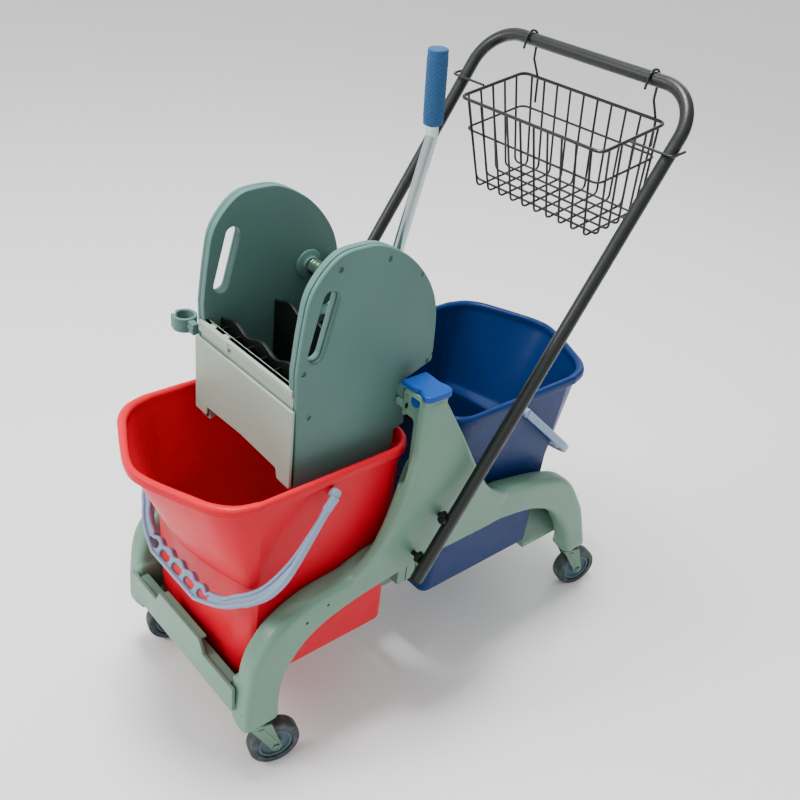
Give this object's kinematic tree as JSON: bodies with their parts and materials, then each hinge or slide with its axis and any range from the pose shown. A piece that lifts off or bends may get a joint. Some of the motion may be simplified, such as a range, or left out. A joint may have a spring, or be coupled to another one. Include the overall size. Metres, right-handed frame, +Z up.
{
  "type": "mop trolley",
  "caption": "Wheeled mop trolley with red and blue buckets, a lever press wringer, a push handle and a wire basket.",
  "frame": {"origin": "on the floor, at the middle of the overall length and width", "axes": "+Z up, +Y to the rear where the push handle is, -Y to the front with the red bucket, +X to the right when looking from the front to the rear"},
  "size_m": [0.4498, 0.8718, 1.017],
  "materials": {
    "frame_plastic": "moulded, semi-gloss",
    "panel_plastic": "moulded, semi-gloss",
    "front_plastic": "moulded, semi-gloss",
    "red_plastic": "glossy",
    "blue_plastic": "glossy",
    "cap_plastic": "semi-gloss",
    "bail_plastic": "semi-gloss",
    "dark_paint": "powder coated, satin",
    "chrome": "polished",
    "grip_plastic": "matte, patterned",
    "black_plastic": "satin",
    "tyre_rubber": "matte",
    "hub_plastic": "satin",
    "zinc_steel": "zinc plated"
  },
  "bodies": {
    "chassis": {"side_frame_left": "frame_plastic", "side_frame_right": "frame_plastic", "front_crossbar": "frame_plastic", "middle_crossmember": "frame_plastic", "rear_crossbar": "frame_plastic", "tower_cap_left": "cap_plastic", "tower_cap_right": "cap_plastic", "tower_plug_left": "cap_plastic", "tower_plug_right": "cap_plastic", "push_handle": "dark_paint", "handle_end_plug_left": "black_plastic", "handle_end_plug_right": "black_plastic", "handle_bolt_left_lower": "black_plastic", "handle_bolt_left_upper": "black_plastic", "handle_bolt_right_lower": "black_plastic", "handle_bolt_right_upper": "black_plastic"},
    "fork_front_left": {"caster_front_left_fork": "zinc_steel", "caster_front_left_axle": "zinc_steel"},
    "wheel_front_left": {"caster_front_left_hub": "hub_plastic", "caster_front_left_tyre": "tyre_rubber"},
    "fork_front_right": {"caster_front_right_fork": "zinc_steel", "caster_front_right_axle": "zinc_steel"},
    "wheel_front_right": {"caster_front_right_hub": "hub_plastic", "caster_front_right_tyre": "tyre_rubber"},
    "fork_rear_left": {"caster_rear_left_fork": "zinc_steel", "caster_rear_left_axle": "zinc_steel"},
    "wheel_rear_left": {"caster_rear_left_hub": "hub_plastic", "caster_rear_left_tyre": "tyre_rubber"},
    "fork_rear_right": {"caster_rear_right_fork": "zinc_steel", "caster_rear_right_axle": "zinc_steel"},
    "wheel_rear_right": {"caster_rear_right_hub": "hub_plastic", "caster_rear_right_tyre": "tyre_rubber"},
    "red_bucket": {"red_bucket": "red_plastic"},
    "red_bail": {"red_bail": "bail_plastic"},
    "blue_bucket": {"blue_bucket": "blue_plastic"},
    "blue_bail": {"blue_bail": "bail_plastic"},
    "wringer": {"wringer_cover_left": "panel_plastic", "wringer_cover_right": "panel_plastic", "wringer_shell_left": "panel_plastic", "wringer_shell_right": "panel_plastic", "wringer_front_panel": "front_plastic", "wringer_rear_panel": "panel_plastic", "drain_grid": "panel_plastic", "fixed_press_plate": "black_plastic", "shaft_hub_left": "panel_plastic", "shaft_hub_right": "panel_plastic", "return_spring": "zinc_steel", "mop_clip": "panel_plastic"},
    "press_lever": {"press_shaft": "zinc_steel", "press_arm_left": "black_plastic", "press_arm_right": "black_plastic", "lever_tube": "chrome", "lever_grip": "grip_plastic"},
    "press_plate": {"moving_press_plate": "black_plastic"},
    "basket": {"wire_basket": "dark_paint", "basket_hook_left": "dark_paint", "basket_hook_right": "dark_paint", "basket_side_hook_left": "dark_paint", "basket_side_hook_right": "dark_paint"}
  },
  "joints": [
    {"name": "swivel_front_left", "type": "hinge", "parent": "chassis", "child": "fork_front_left", "pos_m": [-0.155, -0.33088, 0.099], "axis": [0, 0, 1], "continuous": true},
    {"name": "roll_front_left", "type": "hinge", "parent": "fork_front_left", "child": "wheel_front_left", "pos_m": [-0.14775, -0.30383, 0.04], "axis": [0.9659, -0.2588, 0], "continuous": true},
    {"name": "swivel_front_right", "type": "hinge", "parent": "chassis", "child": "fork_front_right", "pos_m": [0.155, -0.33088, 0.099], "axis": [0, 0, 1], "continuous": true},
    {"name": "roll_front_right", "type": "hinge", "parent": "fork_front_right", "child": "wheel_front_right", "pos_m": [0.16225, -0.30383, 0.04], "axis": [0.9659, -0.2588, 0], "continuous": true},
    {"name": "swivel_rear_left", "type": "hinge", "parent": "chassis", "child": "fork_rear_left", "pos_m": [-0.155, 0.36812, 0.099], "axis": [0, 0, 1], "continuous": true},
    {"name": "roll_rear_left", "type": "hinge", "parent": "fork_rear_left", "child": "wheel_rear_left", "pos_m": [-0.14775, 0.39517, 0.04], "axis": [0.9659, -0.2588, 0], "continuous": true},
    {"name": "swivel_rear_right", "type": "hinge", "parent": "chassis", "child": "fork_rear_right", "pos_m": [0.155, 0.36812, 0.099], "axis": [0, 0, 1], "continuous": true},
    {"name": "roll_rear_right", "type": "hinge", "parent": "fork_rear_right", "child": "wheel_rear_right", "pos_m": [0.16225, 0.39517, 0.04], "axis": [0.9659, -0.2588, 0], "continuous": true},
    {"name": "red_bucket_lift", "type": "slide", "parent": "chassis", "child": "red_bucket", "axis": [0, 0, 1], "range_m": [0, 0.04]},
    {"name": "red_bail_swing", "type": "hinge", "parent": "red_bucket", "child": "red_bail", "pos_m": [0, -0.21888, 0.472], "axis": [-1, 0, 0], "range_deg": [0, 92]},
    {"name": "blue_bucket_lift", "type": "slide", "parent": "chassis", "child": "blue_bucket", "axis": [0, 0, 1], "range_m": [0, 0.15]},
    {"name": "blue_bail_swing", "type": "hinge", "parent": "blue_bucket", "child": "blue_bail", "pos_m": [0, 0.15812, 0.472], "axis": [1, 0, 0], "range_deg": [0, 160]},
    {"name": "wringer_lift", "type": "slide", "parent": "red_bucket", "child": "wringer", "axis": [0, 0, 1], "range_m": [0, 0.35]},
    {"name": "lever_pull", "type": "hinge", "parent": "wringer", "child": "press_lever", "pos_m": [0, -0.08788, 0.674], "axis": [-1, 0, 0], "range_deg": [0, 42], "stiffness_Nm_per_rad": 2, "springref_deg": -34.38},
    {"name": "press_plate_slide", "type": "slide", "parent": "wringer", "child": "press_plate", "axis": [0, -1, 0], "range_m": [0, 0.0445]},
    {"name": "basket_lift", "type": "slide", "parent": "chassis", "child": "basket", "axis": [0, 0, 1], "range_m": [0, 0.03]}
  ],
  "couplings": [
    {"joint": "press_plate_slide", "follows": "lever_pull", "m_per_rad": 0.0606}
  ]
}
